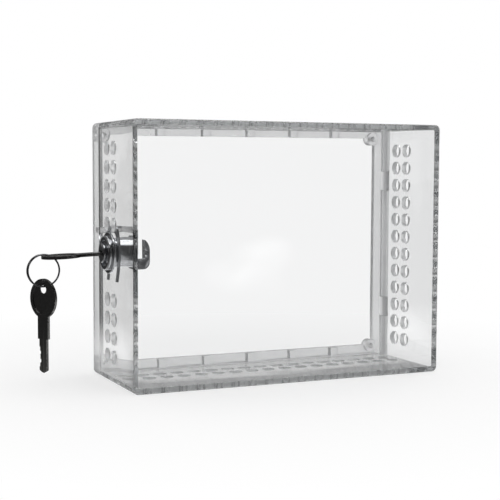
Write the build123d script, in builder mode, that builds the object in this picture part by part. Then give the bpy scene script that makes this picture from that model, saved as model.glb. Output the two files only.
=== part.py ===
from build123d import *
import os
from math import asin, cos, degrees, radians, sin, sqrt

# A clear lock box for a wall thermostat. X runs across the box, Y into the wall, Z up, in
# millimetres. The wall plane is y = 0 and the origin is the middle of the box's back.

# Box
box_width = 192.0
box_height = 148.0
box_depth = 75.0
corner_radius = 3.0  # the four edges that run front to back
front_radius = 1.2  # the edges round the front face
inner_radius = 1.0
cover_wall = 3.0
seam_gap = 0.3  # between the cover and the ring base

# Ring base
ring_depth = 12.0
back_plate = 3.0  # thickness of the flange against the wall
top_rail = 7.0  # flange height
bottom_rail = 8.0
rail_wall = 3.0  # outer wall at the top and bottom
side_rail = 4.7  # width at the left and right, also the hinge's diameter
lug_width = 5.0
lug_depth = 4.0
lug_pitch = 29.0
lug_shift = 3.4  # the middle lug's place right of the box's middle
lug_count = 5
screw_hole_d = 3.4
screw_boss_d = 8.0
screw_boss_height = 6.0
screw_inset_x = 7.2
screw_inset_z = 7.5

# Vents
vent_d = 8.0
vent_pitch = 10.7
vent_column_pitch = 12.0
side_vent_rows = 12
end_vent_rows = 17

# Hinge on the right side
knuckle_height = 12.0
knuckle_offset = 40.0  # from the box's middle, up and down
knuckle_gap = 0.3
hinge_pin_d = 2.0
hinge_pin_reach = 5.0  # into the cover past each end of a knuckle
hinge_pin_gap = 0.05
hinge_pin_chamfer = 0.2

# Lock
lock_y = -33.0
flange_d = 23.5
flange_thickness = 1.4
bezel_d = 19.6
bezel_height = 3.5  # in front of the side wall
bezel_recess_d = 14.8
bezel_recess = 1.1
bezel_round = 0.9
flange_round = 0.4
barrel_d = 17.0
barrel_flats = 15.0
barrel_reach = 11.1  # behind the outside of the side wall
barrel_hole_gap = 0.1
plug_d = 10.9
plug_gap = 0.05
plug_nose = 1.7  # in front of the bezel
plug_chamfer = 0.4
snap_groove_depth = 0.5
snap_ring_d = 13.8
snap_ring_thickness = 0.6
snap_ring_gap = 0.1
snap_ring_slot = 5.0

# Spring clip behind the side wall
clip_width = 18.4
clip_tab_length = 3.6
clip_tab_width = 8.0
clip_top = 15.0
clip_bottom = -16.0
clip_thickness = 1.1
clip_bow = 1.2
clip_groove_depth = 0.5
clip_gap = 0.1
clip_play = 0.4  # along the barrel, for the strip's bow

# Wafers and their springs
wafer_pitch = 2.3
first_wafer = 2.1  # from the bezel recess's floor to the first wafer
wafer_thickness = 1.1
wafer_width = 7.0
wafer_gap = 0.1
wafer_window_height = 3.4
wafer_lug = 1.2  # how far the lug stands out of the wafer's side
wafer_lug_low = 1.8  # from the lock's axis to the face that the spring pushes
wafer_lug_height = 0.8
wafer_spring_d = 1.0
wafer_spring_low = -1.7  # the spring's seat in the plug
wafer_chamber = 13.0

# Latch tail on the back of the plug
tail_d = 19.2
tail_thickness = 5.0
tail_gap = 0.1  # behind the barrel
tail_hub = 1.6
tail_notch = 7.5
tail_nose = 2.9
tail_horn = 9.2  # from the axis up to the horn behind the notch, before its corner is rounded
tail_floor = 3.5  # from the axis down to the notch's floor
horn_corner = 8.0
tail_corner = 4.5

# Keeper on the ring base
keeper_thickness = 2.0
keeper_side_gap = 1.2
keeper_nose_gap = 0.4
keeper_arm = 3.0
keeper_arm_gap = 0.4

# Keys
key_thickness = 1.8
key_seat_gap = 0.3
blade_length = 19.0
blade_width = 5.2
blade_tip = 1.6
keyway_height = 2.8
keyway_gap = 0.2
neck_length = 11.6
neck_width = 7.4
bow_length = 22.0
bow_width = 18.4
bow_rim = 2.0
bow_recess = 0.45
bow_hole_d = 4.5
bow_hole_inset = 6.0  # from the bow's end to the hole's middle
key_groove_width = 1.3
key_groove_depth = 0.45
key_droop = 2.3  # degrees, by the slack in the keyway
key_groove_length = 24.0  # from the tip
bitting = (0.5, 1.0, 0.7, 1.2, 0.4)
spare_turn = 56.5  # degrees that the spare key's face is turned from the front

# Key ring
ring_radius = 8.9  # to the middle of the wire
ring_wire_d = 1.0
ring_pitch = 1.45  # between the two laps
ring_start = 225.0  # degrees, where the wire starts
ring_sweep = 480.0
ring_drop = 7.4  # from the key down to the ring's middle
ring_seat_gap = 0.2

beyond = 1.0  # how far a cutting shape runs past the face it cuts

os.makedirs("parts", exist_ok=True)

# Places worked out from the sizes above
half_width = box_width / 2
half_height = box_height / 2
cover_back = -(ring_depth + seam_gap)
hinge_radius = side_rail / 2
hinge_x = half_width - hinge_radius
hinge_y = cover_back - hinge_radius
wall_outside = -half_width
wall_inside = wall_outside + cover_wall
bezel_face = wall_outside - bezel_height
recess_floor = bezel_face + bezel_recess
plug_face = bezel_face - plug_nose
barrel_end = wall_outside + barrel_reach
hub_front = barrel_end + tail_gap
notch_start = hub_front + tail_hub
notch_end = notch_start + tail_notch
tail_end = notch_end + tail_nose
plug_radius = plug_d / 2
wafer_places = [recess_floor + first_wafer + i * wafer_pitch for i in range(len(bitting))]
lock_plane = Plane(origin=(0, lock_y, 0), x_dir=(0, 1, 0), z_dir=(1, 0, 0))


def save(part, name):
    part.label = name
    export_step(part, f"parts/{name}.step")


def lock_disc(start, end, radius, bore=0, mode=Mode.ADD):
    """A round of the lock between two places on its axis, with a bore where one is given."""
    with BuildSketch(lock_plane.offset(start)) as profile:
        Circle(radius)
        if bore:
            Circle(bore, mode=Mode.SUBTRACT)
    extrude(profile.sketch, amount=end - start, mode=mode)


def double_d(start, end, diameter, flats, mode=Mode.ADD):
    """A round with a flat on its front and back, between two places on the lock's axis."""
    with BuildSketch(lock_plane.offset(start)) as profile:
        Circle(diameter / 2)
        Rectangle(flats, diameter, mode=Mode.INTERSECT)
    extrude(profile.sketch, amount=end - start, mode=mode)


def lock_bar(start, end, width, height, place=(0, 0), mode=Mode.ADD):
    """A bar along the lock's axis, its width along Y and its height along Z."""
    with BuildSketch(lock_plane.offset(start)) as profile:
        with Locations(place):
            Rectangle(width, height)
    extrude(profile.sketch, amount=end - start, mode=mode)


# Ring base: a frame with a flange against the wall, screw bosses, lugs, hinge knuckles and the
# keeper that the latch tail hooks behind.
screw_x = half_width - screw_inset_x
screw_z = half_height - screw_inset_z
opening_width = box_width - 2 * side_rail
opening_height = box_height - top_rail - bottom_rail
opening_middle = (bottom_rail - top_rail) / 2
keeper_start = notch_start + keeper_side_gap
keeper_radius = tail_floor - keeper_nose_gap
keeper_front = lock_y - keeper_radius
keeper_back = -back_plate / 2
arm_low = tail_d / 2 + keeper_arm_gap
arm_high = arm_low + keeper_arm
pin_bore = hinge_pin_d / 2 + hinge_pin_gap

with BuildPart() as ring_base:
    with BuildSketch(Plane.XZ):
        RectangleRounded(box_width, box_height, corner_radius)
        with Locations((0, opening_middle)):
            Rectangle(opening_width, opening_height, mode=Mode.SUBTRACT)
    extrude(amount=ring_depth)
    with BuildSketch(Plane.XZ.offset(back_plate)):
        Rectangle(opening_width, box_height - 2 * rail_wall)
    extrude(amount=ring_depth - back_plate, mode=Mode.SUBTRACT)

    # Lugs that stiffen the top and bottom rails
    with BuildSketch(Plane.XZ.offset(back_plate)):
        for side, rail in ((-1, bottom_rail), (1, top_rail)):
            with Locations((lug_shift, side * (half_height - (rail + rail_wall) / 2))):
                with GridLocations(lug_pitch, 1, lug_count, 1):
                    Rectangle(lug_width, rail - rail_wall)
    extrude(amount=lug_depth)

    # Screw bosses in the corners, drilled from the front
    with BuildSketch(Plane.XZ):
        with GridLocations(2 * screw_x, 2 * screw_z, 2, 2):
            Circle(screw_boss_d / 2)
    extrude(amount=screw_boss_height)
    with BuildSketch(Plane.XZ):
        with GridLocations(2 * screw_x, 2 * screw_z, 2, 2):
            Circle(screw_hole_d / 2)
    extrude(amount=screw_boss_height, mode=Mode.SUBTRACT)

    # Hinge knuckles, each a round carried on a web
    for side in (-1, 1):
        with BuildSketch(Plane.XY.offset(side * knuckle_offset - knuckle_height / 2)):
            with Locations((hinge_x, hinge_y)):
                Circle(hinge_radius)
                Rectangle(2 * hinge_radius, -ring_depth - hinge_y, align=(Align.CENTER, Align.MIN))
                Circle(pin_bore, mode=Mode.SUBTRACT)
        extrude(amount=knuckle_height)

    # Keeper: a web from the left wall, an arm over the latch tail and a round nose down its notch
    with BuildSketch(Plane.YZ.offset(keeper_start)):
        with Locations((lock_y, 0)):
            Circle(keeper_radius)
            Rectangle(2 * keeper_radius, arm_high, align=(Align.CENTER, Align.MIN))
        with Locations((keeper_front, arm_low)):
            Rectangle(keeper_back - keeper_front, keeper_arm, align=(Align.MIN, Align.MIN))
    extrude(amount=keeper_thickness)
    with BuildSketch(Plane.YZ.offset(-half_width + side_rail)):
        with Locations((-ring_depth, arm_low)):
            Rectangle(ring_depth + keeper_back, keeper_arm, align=(Align.MIN, Align.MIN))
    extrude(amount=keeper_start + half_width - side_rail)
save(ring_base.part, "ring_base")

# Cover: one five-sided moulding with vents, the lock's hole and a rolled hinge edge
cover_depth = box_depth + cover_back
lock_zone = (clip_bottom - vent_d / 2, flange_d / 2)
vent_rows = [(row - (side_vent_rows - 1) / 2) * vent_pitch for row in range(side_vent_rows)]
left_rows = [z for z in vent_rows if not lock_zone[0] < z < lock_zone[1]]
notch_height = knuckle_height + 2 * knuckle_gap
notch_reach = hinge_radius + knuckle_gap

with BuildPart() as cover:
    with BuildSketch(Plane.XZ.offset(-cover_back)):
        RectangleRounded(box_width, box_height, corner_radius)
    extrude(amount=cover_depth)
    fillet(cover.faces().sort_by(Axis.Y)[0].edges(), front_radius)
    with BuildSketch(Plane.XZ.offset(-cover_back)):
        RectangleRounded(box_width - 2 * cover_wall, box_height - 2 * cover_wall, inner_radius)
    extrude(amount=cover_depth - cover_wall, mode=Mode.SUBTRACT)

    # Rolled edge about the hinge axis, inside the right wall
    with BuildSketch(Plane.XY):
        with Locations((hinge_x, hinge_y)):
            Circle(hinge_radius)
    extrude(amount=half_height - cover_wall, both=True)
    with BuildSketch(Plane.XY):
        with Locations((hinge_x, hinge_y)):
            Rectangle(hinge_radius + beyond, hinge_radius + beyond, align=(Align.MIN, Align.MIN))
            Circle(hinge_radius, mode=Mode.SUBTRACT)
    extrude(amount=half_height, both=True, mode=Mode.SUBTRACT)

    # A notch for each knuckle, and the pin's bore from the nearer end of the box
    for side in (-1, 1):
        with BuildSketch(Plane.XY.offset(side * knuckle_offset)):
            with Locations((hinge_x - notch_reach, hinge_y - notch_reach)):
                Rectangle(2 * notch_reach + beyond, 2 * notch_reach + beyond, align=(Align.MIN, Align.MIN))
        extrude(amount=notch_height / 2, both=True, mode=Mode.SUBTRACT)
        with BuildSketch(Plane.XY.offset(side * (knuckle_offset - notch_height / 2 - hinge_pin_reach))):
            with Locations((hinge_x, hinge_y)):
                Circle(pin_bore)
        extrude(amount=side * half_height, mode=Mode.SUBTRACT)

    # Vents in two columns through the right, left, top and bottom walls
    with BuildSketch(Plane.YZ.offset(half_width)):
        with Locations((lock_y, 0)):
            with GridLocations(vent_column_pitch, vent_pitch, 2, side_vent_rows):
                Circle(vent_d / 2)
    extrude(amount=-cover_wall, mode=Mode.SUBTRACT)
    with BuildSketch(Plane.YZ.offset(wall_outside)):
        for z in left_rows:
            with Locations((lock_y, z)):
                with GridLocations(vent_column_pitch, 1, 2, 1):
                    Circle(vent_d / 2)
    extrude(amount=cover_wall, mode=Mode.SUBTRACT)
    for side in (-1, 1):
        with BuildSketch(Plane.XY.offset(side * half_height)):
            with Locations((0, lock_y)):
                with GridLocations(vent_pitch, vent_column_pitch, end_vent_rows, 2):
                    Circle(vent_d / 2)
        extrude(amount=-side * cover_wall, mode=Mode.SUBTRACT)

    double_d(
        wall_outside,
        wall_inside,
        barrel_d + 2 * barrel_hole_gap,
        barrel_flats + 2 * barrel_hole_gap,
        mode=Mode.SUBTRACT,
    )
save(cover.part, "cover")

# Hinge pins, one through each knuckle and into the cover above and below it
pin_half = notch_height / 2 + hinge_pin_reach - hinge_pin_gap
for name, side in (("upper", 1), ("lower", -1)):
    with BuildPart() as hinge_pin:
        with BuildSketch(Plane.XY.offset(side * knuckle_offset)):
            with Locations((hinge_x, hinge_y)):
                Circle(hinge_pin_d / 2)
        extrude(amount=pin_half, both=True)
        chamfer(hinge_pin.edges(), hinge_pin_chamfer)
    save(hinge_pin.part, f"hinge_pin_{name}")

# Lock body: flange and bezel outside the wall, a barrel with two flats through it
flange_face = wall_outside - flange_thickness
chamber_start = wafer_places[0] - wafer_thickness / 2 - wafer_gap
chamber_height = wafer_width + 2 * wafer_gap
clip_foot = wall_inside + clip_thickness / 2 + clip_gap
clip_crown = clip_foot + clip_bow
groove_half = clip_thickness / 2 + clip_play

with BuildPart() as lock_body:
    lock_disc(flange_face, wall_outside, flange_d / 2)
    lock_disc(bezel_face, flange_face, bezel_d / 2)
    fillet(lock_body.edges().filter_by(GeomType.CIRCLE).group_by(Axis.X)[0], bezel_round)
    fillet(lock_body.edges().filter_by(GeomType.CIRCLE).sort_by(SortBy.RADIUS)[-2:], flange_round)
    double_d(wall_outside, barrel_end, barrel_d, barrel_flats)
    lock_disc(bezel_face, recess_floor, bezel_recess_d / 2, mode=Mode.SUBTRACT)
    lock_disc(bezel_face, barrel_end, plug_radius + plug_gap, mode=Mode.SUBTRACT)
    lock_bar(chamber_start, barrel_end, wafer_chamber, chamber_height, mode=Mode.SUBTRACT)
    for side in (-1, 1):
        lock_bar(
            clip_crown - groove_half,
            clip_crown + groove_half,
            2 * clip_groove_depth,
            barrel_d,
            place=(side * barrel_flats / 2, 0),
            mode=Mode.SUBTRACT,
        )
save(lock_body.part, "lock_body")

# Horseshoe clip: a bowed strip that grips the barrel's grooves and presses on the wall
clip_slot = barrel_flats - 2 * clip_groove_depth + 2 * clip_gap
clip_side = (clip_width - clip_slot) / 2
clip_middle = (clip_top + clip_bottom) / 2
clip_length = clip_top - clip_bottom
slot_top = clip_top - clip_side - clip_slot / 2

with BuildPart() as lock_clip:
    with BuildSketch(Plane.XZ.offset(-lock_y)):
        with BuildLine():
            ThreePointArc((clip_foot, clip_top), (clip_crown, clip_middle), (clip_foot, clip_bottom))
        trace(line_width=clip_thickness)
    extrude(amount=clip_width / 2, both=True)
    with BuildSketch(Plane.YZ.offset(wall_inside)) as clip_outline:
        with Locations((lock_y, clip_middle)):
            Rectangle(clip_width, clip_length)
        fillet(clip_outline.vertices().group_by(Axis.Y)[-1], clip_side)
        with Locations((lock_y, slot_top)):
            Circle(clip_slot / 2, mode=Mode.SUBTRACT)
            Rectangle(clip_slot, clip_length, align=(Align.CENTER, Align.MAX), mode=Mode.SUBTRACT)
    extrude(amount=clip_bow + 2 * clip_thickness, mode=Mode.INTERSECT)
    with BuildSketch(Plane.XY.offset(clip_top - clip_thickness)):
        with Locations((clip_foot, lock_y)):
            Rectangle(clip_tab_length, clip_tab_width, align=(Align.MIN, Align.CENTER))
    extrude(amount=clip_thickness)
save(lock_clip.part, "lock_clip")

# Plug with its notched latch tail, in the unlocked position with the notch upward
snap_front = recess_floor - snap_ring_gap - snap_ring_thickness
snap_back = recess_floor - snap_ring_gap
snap_bore = plug_radius - snap_groove_depth
tail_top = tail_d / 2 + beyond
keyway_width = blade_width + 2 * keyway_gap
pocket_low = wafer_spring_low - wafer_gap
pocket_height = wafer_lug + wafer_gap

with BuildPart() as latch_tail:
    lock_disc(hub_front, tail_end, tail_d / 2)
    with BuildSketch(Plane.XZ.offset(-lock_y)) as tail_side:
        with Locations((hub_front, tail_horn)):
            Rectangle(tail_end - hub_front, tail_horn + tail_d / 2, align=(Align.MIN, Align.MAX))
        fillet(tail_side.vertices().group_by(Axis.X)[-1].sort_by(Axis.Y)[0], tail_corner)
        fillet(tail_side.vertices().group_by(Axis.X)[-1].sort_by(Axis.Y)[-1], horn_corner)
    extrude(amount=tail_thickness / 2, both=True, mode=Mode.INTERSECT)
    lock_bar(
        notch_start,
        notch_end,
        tail_d,
        tail_top + tail_floor,
        place=(0, (tail_top - tail_floor) / 2),
        mode=Mode.SUBTRACT,
    )

with BuildPart() as lock_plug:
    lock_disc(plug_face, notch_start, plug_radius)
    chamfer(lock_plug.edges().group_by(Axis.X)[0], plug_chamfer)
    lock_disc(snap_front - snap_ring_gap, snap_back + snap_ring_gap, tail_d, snap_bore, mode=Mode.SUBTRACT)
    add(latch_tail.part)
    lock_bar(plug_face, notch_start, keyway_width, keyway_height, mode=Mode.SUBTRACT)
    for place in wafer_places:
        slot_half = wafer_thickness / 2 + wafer_gap
        lock_bar(place - slot_half, place + slot_half, plug_d + beyond, chamber_height, mode=Mode.SUBTRACT)
        lock_bar(
            place - slot_half,
            place + slot_half,
            plug_d - pocket_low,
            pocket_height,
            place=((plug_d + pocket_low) / 2, (wafer_width + pocket_height) / 2),
            mode=Mode.SUBTRACT,
        )
save(lock_plug.part, "lock_plug")

# Snap ring that holds the plug in the bezel's recess
with BuildPart() as snap_ring:
    lock_disc(snap_front, snap_back, snap_ring_d / 2, snap_bore + plug_gap)
    lock_bar(
        snap_front,
        snap_back,
        snap_ring_slot,
        snap_ring_d,
        place=(0, -snap_ring_d / 2),
        mode=Mode.SUBTRACT,
    )
save(snap_ring.part, "plug_snap_ring")

# Wafers, level with the plug as the key holds them, each with the spring in its pocket. Their
# windows let the whole blade through.
wafer_radius = plug_radius - plug_gap
for number, place in enumerate(wafer_places, start=1):
    with BuildPart() as wafer:
        with BuildSketch(lock_plane.offset(place - wafer_thickness / 2)):
            Circle(wafer_radius)
            Rectangle(2 * wafer_radius, wafer_width, mode=Mode.INTERSECT)
            with Locations((wafer_lug_low, wafer_width / 2)):
                Rectangle(wafer_lug_height, 2 * wafer_lug, align=(Align.MIN, Align.CENTER))
            Rectangle(keyway_width, wafer_window_height, mode=Mode.SUBTRACT)
        extrude(amount=wafer_thickness)
    save(wafer.part, f"wafer_{number}")

    with BuildPart() as wafer_spring:
        with BuildSketch(Plane.XZ.offset(-lock_y - wafer_spring_low)):
            with Locations((place, (wafer_width + wafer_lug) / 2)):
                Circle(wafer_spring_d / 2)
        extrude(amount=wafer_spring_low - wafer_lug_low + wafer_gap / 2)
    save(wafer_spring.part, f"wafer_spring_{number}")

# Keys. A key's own plane has its length along x, from the tip to the bow, with the origin at the
# shoulder, and its face along z.
key_reach = neck_length + bow_length
bow_middle = neck_length + bow_length / 2
hole_place = key_reach - bow_hole_inset
shoulder_x = plug_face - key_seat_gap
droop = radians(key_droop)
key_out = Vector(-cos(droop), 0, -sin(droop))
blade_middle = Vector(shoulder_x + cos(droop) * blade_length / 2, lock_y, 0)
working_plane = Plane(
    origin=blade_middle + key_out * (blade_length / 2),
    x_dir=key_out,
    z_dir=(-sin(droop), 0, cos(droop)),
)
working_hole = working_plane.from_local_coords(Vector(hole_place, 0, 0))


def make_key(place):
    with BuildPart() as key:
        with BuildSketch(place):
            with Locations((bow_middle, 0)):
                Ellipse(bow_length / 2, bow_width / 2)
            Rectangle(bow_middle, neck_width, align=(Align.MIN, Align.CENTER))
            straight = blade_length - blade_tip
            half_blade = blade_width / 2
            Polygon(
                (0, half_blade),
                (-straight, half_blade),
                (-blade_length, 0),
                (-straight, -half_blade),
                (0, -half_blade),
                align=None,
            )
            for wafer_place, depth in zip(wafer_places, bitting):
                half_floor = wafer_thickness / 2 + wafer_gap
                half_mouth = half_floor + depth + beyond
                with Locations((shoulder_x - wafer_place, half_blade)):
                    Polygon(
                        (-half_mouth, beyond),
                        (-half_floor, -depth),
                        (half_floor, -depth),
                        (half_mouth, beyond),
                        align=None,
                        mode=Mode.SUBTRACT,
                    )
        extrude(amount=key_thickness / 2, both=True)

        # A sunk panel in each face of the bow and a groove down the blade
        for side in (-1, 1):
            with BuildSketch(place.offset(side * key_thickness / 2)):
                with Locations((bow_middle, 0)):
                    Ellipse(bow_length / 2 - bow_rim, bow_width / 2 - bow_rim)
            extrude(amount=-side * bow_recess, mode=Mode.SUBTRACT)
            with BuildSketch(place.offset(side * key_thickness / 2)):
                with Locations((-blade_length, 0)):
                    Rectangle(key_groove_length, key_groove_width, align=(Align.MIN, Align.CENTER))
            extrude(amount=-side * key_groove_depth, mode=Mode.SUBTRACT)
        with BuildSketch(place):
            with Locations((hole_place, 0)):
                Circle(bow_hole_d / 2)
        extrude(amount=key_thickness / 2, both=True, mode=Mode.SUBTRACT)
    return key.part


save(make_key(working_plane), "working_key")

# Key ring: one wire of an open coil whose ends lie side by side. It hangs through the working
# key's hole, so its middle is below that hole and towards the bow's end.
ring_across = sqrt(ring_radius**2 - ring_drop**2)
ring_middle = working_hole - Vector(ring_across, 0, ring_drop)
ring_rise = ring_pitch * ring_sweep / 360
crossing_turn = ring_start - degrees(asin(ring_drop / ring_radius))
lowest_turn = ring_start + 90
start_angle = radians(ring_start)
ring_plane = Plane(
    origin=ring_middle - Vector(0, ring_pitch * crossing_turn / 360, 0),
    x_dir=(cos(start_angle), 0, sin(start_angle)),
    z_dir=(0, 1, 0),
)
wire_line = ring_plane.from_local_coords(Edge.make_helix(ring_pitch, ring_rise, ring_radius))

with BuildPart() as key_ring:
    with BuildLine() as wire_path:
        add(wire_line)
    with BuildSketch(Plane(origin=wire_path.line @ 0, z_dir=wire_path.line % 0)):
        Circle(ring_wire_d / 2)
    sweep(is_frenet=True)
save(key_ring.part, "key_ring")
print(f"key ring: the laps lie {ring_pitch - ring_wire_d:.2f} mm apart")

# Spare key, hanging from the ring's lowest point
turn = radians(spare_turn)
wire_rise = ring_pitch * (lowest_turn - crossing_turn) / 360
wire_low = ring_middle + Vector(0, wire_rise, -ring_radius)
spare_hole = wire_low - Vector(0, 0, bow_hole_d / 2 - ring_wire_d / 2 - ring_seat_gap)
spare_plane = Plane(
    origin=spare_hole - Vector(0, 0, hole_place),
    x_dir=(0, 0, 1),
    z_dir=(-sin(turn), -cos(turn), 0),
)
save(make_key(spare_plane), "spare_key")
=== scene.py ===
import bmesh
import bpy
import math
import numpy as np
from mathutils import Matrix, Vector


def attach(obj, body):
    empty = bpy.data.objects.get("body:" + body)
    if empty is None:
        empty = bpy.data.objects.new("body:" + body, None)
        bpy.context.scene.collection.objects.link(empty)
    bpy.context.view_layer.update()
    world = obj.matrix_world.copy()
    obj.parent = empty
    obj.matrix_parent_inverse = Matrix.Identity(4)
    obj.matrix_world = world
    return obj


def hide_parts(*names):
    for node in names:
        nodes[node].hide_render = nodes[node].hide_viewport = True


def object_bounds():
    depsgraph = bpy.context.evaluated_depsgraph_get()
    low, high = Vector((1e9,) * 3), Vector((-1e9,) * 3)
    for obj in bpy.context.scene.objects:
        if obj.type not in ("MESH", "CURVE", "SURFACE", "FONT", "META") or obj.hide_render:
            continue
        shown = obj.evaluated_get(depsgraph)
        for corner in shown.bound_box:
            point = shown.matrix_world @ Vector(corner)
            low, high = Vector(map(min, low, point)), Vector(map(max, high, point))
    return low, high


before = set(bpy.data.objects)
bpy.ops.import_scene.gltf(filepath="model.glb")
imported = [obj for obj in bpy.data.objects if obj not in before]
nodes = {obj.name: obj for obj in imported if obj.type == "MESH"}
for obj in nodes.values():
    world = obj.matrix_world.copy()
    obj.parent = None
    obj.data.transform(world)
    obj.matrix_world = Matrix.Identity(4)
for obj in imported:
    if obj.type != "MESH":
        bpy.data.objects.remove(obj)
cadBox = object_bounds()
print("frame loaded:", len(nodes), "nodes")


# A socket that takes part in sums, so shader maths reads as plain Python.
class Wire:
    def __init__(self, tree, socket):
        self.tree = tree
        self.socket = socket

    def _math(self, operation, first, second=None):
        step = self.tree.nodes.new("ShaderNodeMath")
        step.operation = operation
        for place, value in enumerate((first, second)):
            if isinstance(value, Wire):
                self.tree.links.new(value.socket, step.inputs[place])
            elif value is not None:
                step.inputs[place].default_value = value
        return Wire(self.tree, step.outputs[0])

    def __add__(self, other):
        return self._math("ADD", self, other)

    def __radd__(self, other):
        return self._math("ADD", other, self)

    def __sub__(self, other):
        return self._math("SUBTRACT", self, other)

    def __rsub__(self, other):
        return self._math("SUBTRACT", other, self)

    def __mul__(self, other):
        return self._math("MULTIPLY", self, other)

    def __rmul__(self, other):
        return self._math("MULTIPLY", other, self)

    def __truediv__(self, other):
        return self._math("DIVIDE", self, other)

    def __rtruediv__(self, other):
        return self._math("DIVIDE", other, self)

    def atLeast(self, other):
        return self._math("MAXIMUM", self, other)

    def atMost(self, other):
        return self._math("MINIMUM", self, other)

    def over(self, other):
        return self._math("GREATER_THAN", self, other)

    def size(self):
        return self._math("ABSOLUTE", self)

    def share(self):
        return self.atLeast(0.0).atMost(1.0)


# A material or world being wired up. add() makes any node from its type, settings and inputs.
class Finish:
    def __init__(self, owner):
        owner.use_nodes = True
        self.tree = owner.node_tree
        self.tree.nodes.clear()

    def add(self, kind, settings=None, inputs=None):
        made = self.tree.nodes.new(kind)
        for name, value in (settings or {}).items():
            setattr(made, name, value)
        for name, value in (inputs or {}).items():
            if isinstance(value, Wire):
                self.tree.links.new(value.socket, made.inputs[name])
            else:
                made.inputs[name].default_value = value
        return made

    def out(self, made, name=0):
        return Wire(self.tree, made.outputs[name])

    def place(self, scale=(1, 1, 1), turn=(0, 0, 0)):
        coordinates = self.add("ShaderNodeTexCoord")
        inputs = {"Vector": self.out(coordinates, "Object"), "Scale": scale, "Rotation": turn}
        return self.out(self.add("ShaderNodeMapping", inputs=inputs))

    def axes(self, where):
        split = self.add("ShaderNodeSeparateXYZ", inputs={0: where})
        return [self.out(split, axis) for axis in "XYZ"]

    def length(self, where):
        return self.out(self.add("ShaderNodeVectorMath", {"operation": "LENGTH"}, {0: where}), "Value")

    def noise(self, where, scale, detail=2.0, roughness=0.5):
        inputs = {"Vector": where, "Scale": scale, "Detail": detail, "Roughness": roughness}
        return self.out(self.add("ShaderNodeTexNoise", inputs=inputs))

    def tint(self, factor, low, high):
        made = self.add("ShaderNodeMix", {"data_type": "RGBA"}, {0: factor, 6: low, 7: high})
        return self.out(made, 2)

    def bump(self, height, strength, distance):
        inputs = {"Height": height, "Strength": strength, "Distance": distance}
        return self.out(self.add("ShaderNodeBump", inputs=inputs))

    def principled(self, **inputs):
        named = {name.replace("_", " "): value for name, value in inputs.items()}
        return self.out(self.add("ShaderNodeBsdfPrincipled", inputs=named))

    def diffuse(self, colour):
        return self.out(self.add("ShaderNodeBsdfDiffuse", inputs={"Color": colour}))

    def glow(self, strength):
        inputs = {"Color": (1, 1, 1, 1), "Strength": strength}
        return self.out(self.add("ShaderNodeEmission", inputs=inputs))

    def mix(self, factor, first, second):
        return self.out(self.add("ShaderNodeMixShader", inputs={0: factor, 1: first, 2: second}))

    def close(self, surface, volume=None, kind="ShaderNodeOutputMaterial"):
        wires = {"Surface": surface}
        if volume is not None:
            wires["Volume"] = volume
        self.add(kind, inputs=wires)


def newMaterial(name):
    material = bpy.data.materials.new(name)
    return material, Finish(material)


# Clear plastic: faint flow waves from moulding, fine handling scratches, a slight cool tint.
coverLook = {
    "tint": (0.996, 0.998, 0.999, 1),
    "tintDeep": (0.988, 0.991, 0.993, 1),  # in faint clouds
    "roughLow": 0.0,
    "roughHigh": 0.03,  # in the scratches
    "ventRough": 0.3,  # the vents' walls, left dull by the mould's pins
    "haze": 0.0,  # share of dull white scatter at the surface
    "ventHaze": 0.45,
    "hingeHaze": 0.6,  # on the rolled edge at the hinge
    "absorbDensity": 12.0,
    "flowScale": 22.0,  # waves and clouds per metre
    "cloudScale": 9.0,
}

# The base is moulded from the same plastic in a finely etched mould, so it is less clear.
baseLook = {
    "tint": (0.998, 0.999, 1.0, 1),
    "tintDeep": (0.985, 0.988, 0.99, 1),
    "roughLow": 0.12,
    "roughHigh": 0.18,
    "ventRough": 0.0,
    "haze": 0.26,
    "ventHaze": 0.0,
    "hingeHaze": 0.3,
    "absorbDensity": 12.0,
    "flowScale": 23.7,
    "cloudScale": 10.7,
}

# What both plastics share.
plasticLook = {
    "ior": 1.5,
    "hazeTint": (0.97, 0.975, 0.98, 1),
    "hazeSpread": (0.8, 0.4),  # least share of the haze, and what the clouds add
    "absorb": (0.4, 0.42, 0.43, 1),
    "waveStrength": 0.6,
    "waveDistance": 0.0004,
    # each set of scratches: scale and turn of the noise, and the level above which it scratches
    "scratches": [((900, 40, 40), (0.3, 0.2, 0.5), 0.74), ((40, 40, 900), (0.6, 0.1, -0.4), 0.75)],
}

# Where the duller surfaces lie, in metres.
duller = {
    "ventDepth": (0.0003, 0.0027),  # the vents' walls, below the cover's outer faces
    "sideReach": 0.0705,  # the side walls' vents, up and down from the middle
    "endReach": 0.0925,  # the top and bottom walls' vents, left and right from the middle
    "ventMiddle": -0.033,  # both rows of vents, front to back
    "ventReach": 0.0108,
    "hingeLeft": 0.0908,  # the rolled edge that carries the hinge pins, with its notches
    "hingeMiddle": -0.01465,
    "hingeReach": 0.0028,
}


# 1 where a distance from the middle lies just below an outer face, else 0.
def belowFace(distance, face):
    shallow, deep = duller["ventDepth"]
    return distance.over(face - deep) * (1 - distance.over(face - shallow))


# 1 on the walls of the vents: between the faces of the side and end walls, and no further from
# the vent columns' middle plane than the vents reach.
def ventWalls(across, deep, high):
    acrossSize = across.size()
    highSize = high.size()
    sides = belowFace(acrossSize, cadBox[1].x) * (1 - highSize.over(duller["sideReach"]))
    ends = belowFace(highSize, cadBox[1].z) * (1 - acrossSize.over(duller["endReach"]))
    return (sides + ends) * (1 - (deep - duller["ventMiddle"]).size().over(duller["ventReach"]))


# 1 on the rolled edge that carries the cover's hinge pins, and on the base's knuckles there.
def hingeEdge(across, deep):
    near = 1 - (deep - duller["hingeMiddle"]).size().over(duller["hingeReach"])
    return across.over(duller["hingeLeft"]) * near


def scratchMarks(f):
    marks = 0.0
    for scale, turn, level in plasticLook["scratches"]:
        marks = marks + f.noise(f.place(scale, turn), 1.0, detail=1.0).over(level)
    return marks.atMost(1.0)


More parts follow.
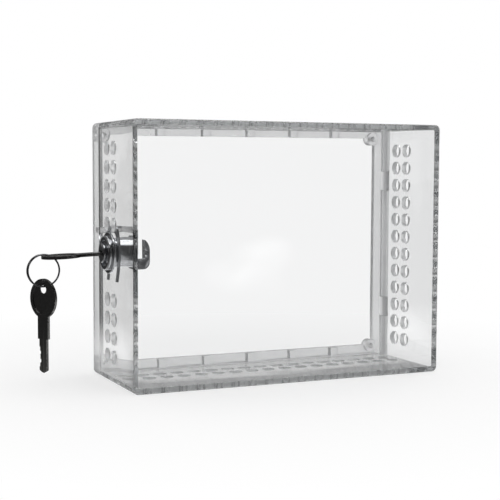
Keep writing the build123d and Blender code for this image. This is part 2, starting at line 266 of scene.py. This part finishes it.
def makeClearPlastic(name, look):
    material, f = newMaterial(name)
    where = f.place()
    across, deep, high = f.axes(where)
    flow = f.noise(where, look["flowScale"], detail=1.5, roughness=0.4)
    cloud = f.noise(where, look["cloudScale"])
    vents = ventWalls(across, deep, high)
    rough = look["roughLow"] + (look["roughHigh"] - look["roughLow"]) * scratchMarks(f) * cloud
    rough = rough + look["ventRough"] * vents
    colour = f.tint(cloud, look["tint"], look["tintDeep"])
    normal = f.bump(flow, plasticLook["waveStrength"], plasticLook["waveDistance"])
    clear = f.principled(
        Base_Color=colour, Roughness=rough, IOR=plasticLook["ior"], Transmission_Weight=1.0, Normal=normal
    )
    least, spread = plasticLook["hazeSpread"]
    haze = look["haze"] * (least + spread * cloud)
    haze = haze + look["ventHaze"] * vents + look["hingeHaze"] * hingeEdge(across, deep)
    surface = f.mix(haze, clear, f.diffuse(plasticLook["hazeTint"]))
    thick = {"Color": plasticLook["absorb"], "Density": look["absorbDensity"]}
    f.close(surface, f.out(f.add("ShaderNodeVolumeAbsorption", inputs=thick)))
    return material


# Bright chrome plate: nearly a mirror, with faint polishing lines and dulled patches.
chromeLook = {
    "light": (0.83, 0.84, 0.86, 1),
    "dark": (0.62, 0.63, 0.65, 1),
    "rough": 0.07,
    "roughSpread": 0.12,
    "patchScale": 260.0,
    "lineScale": (300, 4000, 4000),
    "swellScale": 170.0,
    "swellShare": 5.0,  # height of the faint waves against that of the lines
    "lineShare": 0.1,
    "bumpStrength": 0.8,
    "turnedDepth": 0.00003,  # depth of the waves, in metres, on the turned lock body
    "castDepth": 0.00016,  # and on the cast plug, which is less even
}


def makeChrome(name, depth):
    material, f = newMaterial(name)
    where = f.place()
    patches = f.noise(where, chromeLook["patchScale"], detail=4.0, roughness=0.6)
    lines = f.noise(f.place(chromeLook["lineScale"]), 1.0, detail=3.0, roughness=0.6)
    swell = f.noise(where, chromeLook["swellScale"], detail=1.0, roughness=0.4)
    colour = f.tint(patches, chromeLook["light"], chromeLook["dark"])
    rough = chromeLook["rough"] + chromeLook["roughSpread"] * patches * lines
    height = swell * chromeLook["swellShare"] + lines * chromeLook["lineShare"]
    normal = f.bump(height, chromeLook["bumpStrength"], depth)
    f.close(f.principled(Base_Color=colour, Metallic=1.0, Roughness=rough, Normal=normal))
    return material


# Other metals: patches from light to dark, and fine drawing or stamping lines.
metalLooks = {
    "clipSteel": {
        "light": (0.6, 0.61, 0.63, 1), "dark": (0.42, 0.43, 0.45, 1), "rough": 0.2, "grain": 180,
    },
    "pinSteel": {
        "light": (0.92, 0.925, 0.93, 1), "dark": (0.8, 0.8, 0.81, 1), "rough": 0.55, "grain": 220,
    },
    "waferBrass": {
        "light": (0.8, 0.62, 0.32, 1), "dark": (0.62, 0.45, 0.2, 1), "rough": 0.3, "grain": 220,
    },
    "keyNickel": {
        "light": (0.36, 0.355, 0.35, 1), "dark": (0.22, 0.215, 0.21, 1), "rough": 0.18, "grain": 160,
    },
    "ringSteel": {
        "light": (0.36, 0.36, 0.37, 1), "dark": (0.24, 0.24, 0.25, 1), "rough": 0.14, "grain": 200,
    },
}

# How the lines look on all of them.
metalLines = {"roughSpread": 0.15, "along": 2, "across": 12, "strength": 0.15, "depth": 0.00005}


def makeMetal(name, look):
    material, f = newMaterial(name)
    patches = f.noise(f.place(), look["grain"], detail=4.0, roughness=0.6)
    along = look["grain"] * metalLines["along"]
    across = look["grain"] * metalLines["across"]
    lines = f.noise(f.place((along, across, across)), 1.0, detail=3.0, roughness=0.6)
    colour = f.tint(patches, look["light"], look["dark"])
    rough = look["rough"] + metalLines["roughSpread"] * patches * lines
    normal = f.bump(lines, metalLines["strength"], metalLines["depth"])
    f.close(f.principled(Base_Color=colour, Metallic=1.0, Roughness=rough, Normal=normal))
    return material


finishes = {
    "coverPlastic": makeClearPlastic("coverPlastic", coverLook),
    "basePlastic": makeClearPlastic("basePlastic", baseLook),
    "chromePlate": makeChrome("chromePlate", chromeLook["turnedDepth"]),
    "castChrome": makeChrome("castChrome", chromeLook["castDepth"]),
}
for name, look in metalLooks.items():
    finishes[name] = makeMetal(name, look)
print("materials made:", len(finishes))

# How every CAD node's copy is finished: distances in metres, angles in degrees.
meshFinish = {"weld": 1e-6, "flatAngle": 0.3, "creaseAngle": 30.0, "bevelSteps": 2}

# Each CAD node: its finished piece's name, body, slot, finish and the width of its rounded edges.
pieces = {
    "cover": ("coverMoulding", "cover", "clear_plastic", "coverPlastic", 0.0003),
    "ring_base": ("ringBaseMoulding", "base", "clear_plastic", "basePlastic", 0.0003),
    "lock_body": ("lockBodyChrome", "cover", "chrome", "chromePlate", 0.00015),
    "lock_plug": ("lockPlugChrome", "plug", "chrome", "castChrome", 0.0005),
    "lock_clip": ("lockClipStrip", "cover", "clip_steel", "clipSteel", 0.00015),
    "working_key": ("workingKeyBlank", "working_key", "key_nickel", "keyNickel", 0.00018),
    "spare_key": ("spareKeyBlank", "spare_key", "key_nickel", "keyNickel", 0.00018),
    "key_ring": ("keyRingWire", "key_ring", "ring_steel", "ringSteel", 0.0),
    "plug_snap_ring": ("snapRingSpring", "plug", "clip_steel", "clipSteel", 0.00005),
}
for end in ("upper", "lower"):
    pieces["hinge_pin_" + end] = (end + "HingePin", "cover", "steel_pin", "pinSteel", 0.0)
for number in range(1, 6):
    pieces[f"wafer_{number}"] = (f"waferPlate{number}", "plug", "wafer_brass", "waferBrass", 0.00004)
    pieces[f"wafer_spring_{number}"] = (f"waferSpring{number}", "plug", "clip_steel", "clipSteel", 0.0)


# A CAD node as a finished piece: triangles joined into whole faces, round faces shaded smooth,
# and every sharp edge rounded by the width given, as on the moulded or tumbled part.
def finishNode(node, name, body, slot, finish, edge):
    crease = math.radians(meshFinish["creaseAngle"])
    work = bmesh.new()
    work.from_mesh(nodes[node].data)
    bmesh.ops.remove_doubles(work, verts=work.verts, dist=meshFinish["weld"])
    flat = math.radians(meshFinish["flatAngle"])
    bmesh.ops.dissolve_limit(work, angle_limit=flat, verts=work.verts, edges=work.edges)
    mesh = bpy.data.meshes.new(name)
    work.to_mesh(mesh)
    work.free()
    mesh.polygons.foreach_set("use_smooth", np.ones(len(mesh.polygons), dtype=bool))
    mesh.set_sharp_from_angle(angle=crease)
    mesh.materials.append(finishes[finish])
    piece = bpy.data.objects.new(name, mesh)
    bpy.context.scene.collection.objects.link(piece)
    if edge > 0:
        bevel = piece.modifiers.new("roundedEdges", "BEVEL")
        bevel.width = edge
        bevel.segments = meshFinish["bevelSteps"]
        bevel.limit_method = "ANGLE"
        bevel.angle_limit = crease
        bevel.harden_normals = True
    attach(piece, body)
    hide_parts(node)


for node, words in pieces.items():
    finishNode(node, *words)
print("pieces finished:", len(pieces))

# Stage: a pale floor that fades into the white backdrop, and soft studio light. Lengths in metres.
stageLook = {
    "fill": 0.9,  # world's light on dull surfaces
    "clearLevel": 1.0,  # backdrop as seen by the camera, also straight through the plastic
    "outerShare": 0.3,  # how much of the room the outsides of pieces show in reflections
    "roomDark": 0.05,  # the room round the set, as reflections inside the plastic show it
    "roomBack": 0.5,
    "backFade": (0.05, 0.5),  # where and over how much of a turn to the back the room gets lighter
    "bounces": 48,  # light runs a long way inside the clear walls
}

floorLook = {
    "half": 6.0,
    "drop": 0.0001,  # below the object
    "albedo": 0.86,
    "grainScale": 900.0,
    "grainShare": 0.985,
    "near": 0.58,  # share of the floor's own white beside the object
    "far": 1.0,
    "fade": (0.13, 0.3),  # where that share starts and stops to grow, from the object's middle
    "paintedMirroredNear": 0.75,  # painted light: the floor beside the object and far off, as reflections show it, is a glow at these levels, not the lit floor
    "paintedMirroredFar": 0.12,
    "behind": 0.6,  # painted glow added to the floor just back of the object, which only reflections show
    "behindFade": 0.1,
}

# A soft pool of light painted on the floor in front of the object as a glow that only reflections show,
# which its front panel mirrors faintly.
paintedPoolLook = {"middle": (0.33, -0.86, 0), "halves": (0.05, 0.36, 1.0), "turn": 24.6, "level": 1.9}

# Bright patches that polished surfaces reflect: direction, half angle in degrees, strength.
mirrorPatches = {
    "overhead": ((0.1, -0.1, 0.98), 32.0, 1.4),
    "leftHigh": ((-0.75, -0.35, 0.55), 10.0, 1.6),
}
patchEdge = 0.5  # how soft their edges are

lampLook = {"place": (0.5, -0.1, 1.2), "target": (0, 0, 0), "size": (1.0, 1.0), "power": 3.5}

# Fitted to the eight outer corners of the box in the photograph: angles in degrees, lens in pixels.
cameraLook = {
    "yaw": 24.336,
    "pitch": -3.970,
    "roll": 0.208,
    "place": (-0.29056, -0.65516, 0.04678),
    "lens": 1149.4,
    "picture": 500.0,
    "sensor": 36.0,
    "clip": (0.01, 50.0),
}


# Three values: 1 for rays that come straight from the camera or through clear walls, 1 for rays
# that were mirrored on the way, and the share of the room that a mirrored ray shows. A depth is a
# whole number of bounces, so over(0.5) means at least one.
def viewKinds(f):
    ray = f.add("ShaderNodeLightPath")
    scattered = f.out(ray, "Diffuse Depth").over(0.5)
    mirrored = f.out(ray, "Glossy Depth").over(0.5) * (1 - scattered)
    inside = f.out(ray, "Transmission Depth").over(0.5)
    looking = f.out(ray, "Is Camera Ray") + f.out(ray, "Is Glossy Ray") + f.out(ray, "Is Transmission Ray")
    looking = looking.atMost(1.0)
    outer = stageLook["outerShare"]
    return looking * (1 - mirrored), looking * mirrored, outer + (1 - outer) * inside


# The painted pool of light: a glow on the floor, brightest at its middle and fading to its edge, with no
# lamp there.
def paintedLightPool(f, where):
    turn = (0, 0, math.radians(paintedPoolLook["turn"]))
    inputs = {"Vector": where, "Location": paintedPoolLook["middle"], "Rotation": turn, "Scale": paintedPoolLook["halves"]}
    paintedPool = f.out(f.add("ShaderNodeMapping", {"vector_type": "TEXTURE"}, inputs))
    return paintedPoolLook["level"] * (1 - f.length(paintedPool)).atLeast(0.0)


def floorPaper():
    material, f = newMaterial("floorPaper")
    where = f.place()
    seen, mirrored, share = viewKinds(f)
    start, stop = floorLook["fade"]
    away = ((f.length(where) - start) / (stop - start)).share()
    light = floorLook["albedo"]
    dark = light * floorLook["grainShare"]
    grain = f.noise(where, floorLook["grainScale"])
    paper = f.diffuse(f.tint(grain, (light, light, light, 1), (dark, dark, dark, 1)))
    own = floorLook["near"] + (floorLook["far"] - floorLook["near"]) * away
    lit = f.mix(seen * own, paper, f.glow(1.0))
    # Painted light on the floor as reflections show it: a glow, bright beside the object, brighter still
    # just back of it, dim far off, and with the painted pool of light in front.
    behind = (f.axes(where)[1] / floorLook["behindFade"]).share()
    near = f.glow(share * floorLook["paintedMirroredNear"] + floorLook["behind"] * behind)
    far = f.glow(share * floorLook["paintedMirroredFar"] + paintedLightPool(f, where))
    f.close(f.mix(mirrored, lit, f.mix(away, near, far)))
    return material


def makeFloor():
    half = floorLook["half"]
    z = cadBox[0].z - floorLook["drop"]
    corners = [(-half, -half, z), (half, -half, z), (half, half, z), (-half, half, z)]
    mesh = bpy.data.meshes.new("floor")
    mesh.from_pydata(corners, [], [(0, 1, 2, 3)])
    mesh.materials.append(floorPaper())
    floor = bpy.data.objects.new("floor", mesh)
    bpy.context.scene.collection.objects.link(floor)


# The level of one bright patch: its strength inside its half angle, with a soft edge.
def patchLevel(f, direction, aim, halfAngle, strength):
    inputs = {0: direction, 1: tuple(Vector(aim).normalized())}
    dot = f.out(f.add("ShaderNodeVectorMath", {"operation": "DOT_PRODUCT"}, inputs), "Value")
    edge = math.cos(math.radians(halfAngle))
    soft = (1 - edge) * patchEdge
    return strength * ((dot - edge) / soft).share()


def makeWorld():
    world = bpy.data.worlds.new("studio")
    bpy.context.scene.world = world
    f = Finish(world)
    direction = f.out(f.add("ShaderNodeTexCoord"), "Generated")
    seen, mirrored, share = viewKinds(f)
    start, span = stageLook["backFade"]
    back = ((f.axes(direction)[1] - start) / span).share()
    room = share * (stageLook["roomDark"] + (stageLook["roomBack"] - stageLook["roomDark"]) * back)
    for words in mirrorPatches.values():
        room = room + patchLevel(f, direction, *words)
    other = 1 - seen - mirrored
    level = seen * stageLook["clearLevel"] + mirrored * room + other * stageLook["fill"]
    inputs = {"Color": (1, 1, 1, 1), "Strength": level}
    f.close(f.out(f.add("ShaderNodeBackground", inputs=inputs)), kind="ShaderNodeOutputWorld")


def makeLamp():
    lamp = bpy.data.lights.new("topBox", "AREA")
    lamp.shape = "RECTANGLE"
    lamp.size, lamp.size_y = lampLook["size"]
    lamp.energy = lampLook["power"]
    box = bpy.data.objects.new("topBox", lamp)
    box.location = lampLook["place"]
    box.rotation_mode = "QUATERNION"
    aim = Vector(lampLook["target"]) - Vector(lampLook["place"])
    box.rotation_quaternion = aim.to_track_quat("-Z", "Y")
    bpy.context.scene.collection.objects.link(box)


def makeCamera():
    yaw, pitch, roll = (math.radians(cameraLook[key]) for key in ("yaw", "pitch", "roll"))
    ahead = Vector((math.sin(yaw) * math.cos(pitch), math.cos(yaw) * math.cos(pitch), math.sin(pitch)))
    level = Vector((math.cos(yaw), -math.sin(yaw), 0))
    upright = level.cross(ahead)
    right = level * math.cos(roll) + upright * math.sin(roll)
    up = upright * math.cos(roll) - level * math.sin(roll)
    data = bpy.data.cameras.new("camera")
    data.sensor_width = cameraLook["sensor"]
    data.lens = cameraLook["lens"] * cameraLook["sensor"] / cameraLook["picture"]
    data.clip_start, data.clip_end = cameraLook["clip"]
    camera = bpy.data.objects.new("camera", data)
    turned = Matrix((right, up, -ahead)).transposed().to_4x4()
    camera.matrix_world = Matrix.Translation(cameraLook["place"]) @ turned
    bpy.context.scene.collection.objects.link(camera)
    bpy.context.scene.camera = camera


makeFloor()
makeWorld()
makeCamera()
makeLamp()
scene = bpy.context.scene
scene.view_settings.view_transform = "Standard"
scene.cycles.max_bounces = stageLook["bounces"]
scene.cycles.transmission_bounces = stageLook["bounces"]
scene.cycles.glossy_bounces = stageLook["bounces"]
print("stage, lamp and camera made")
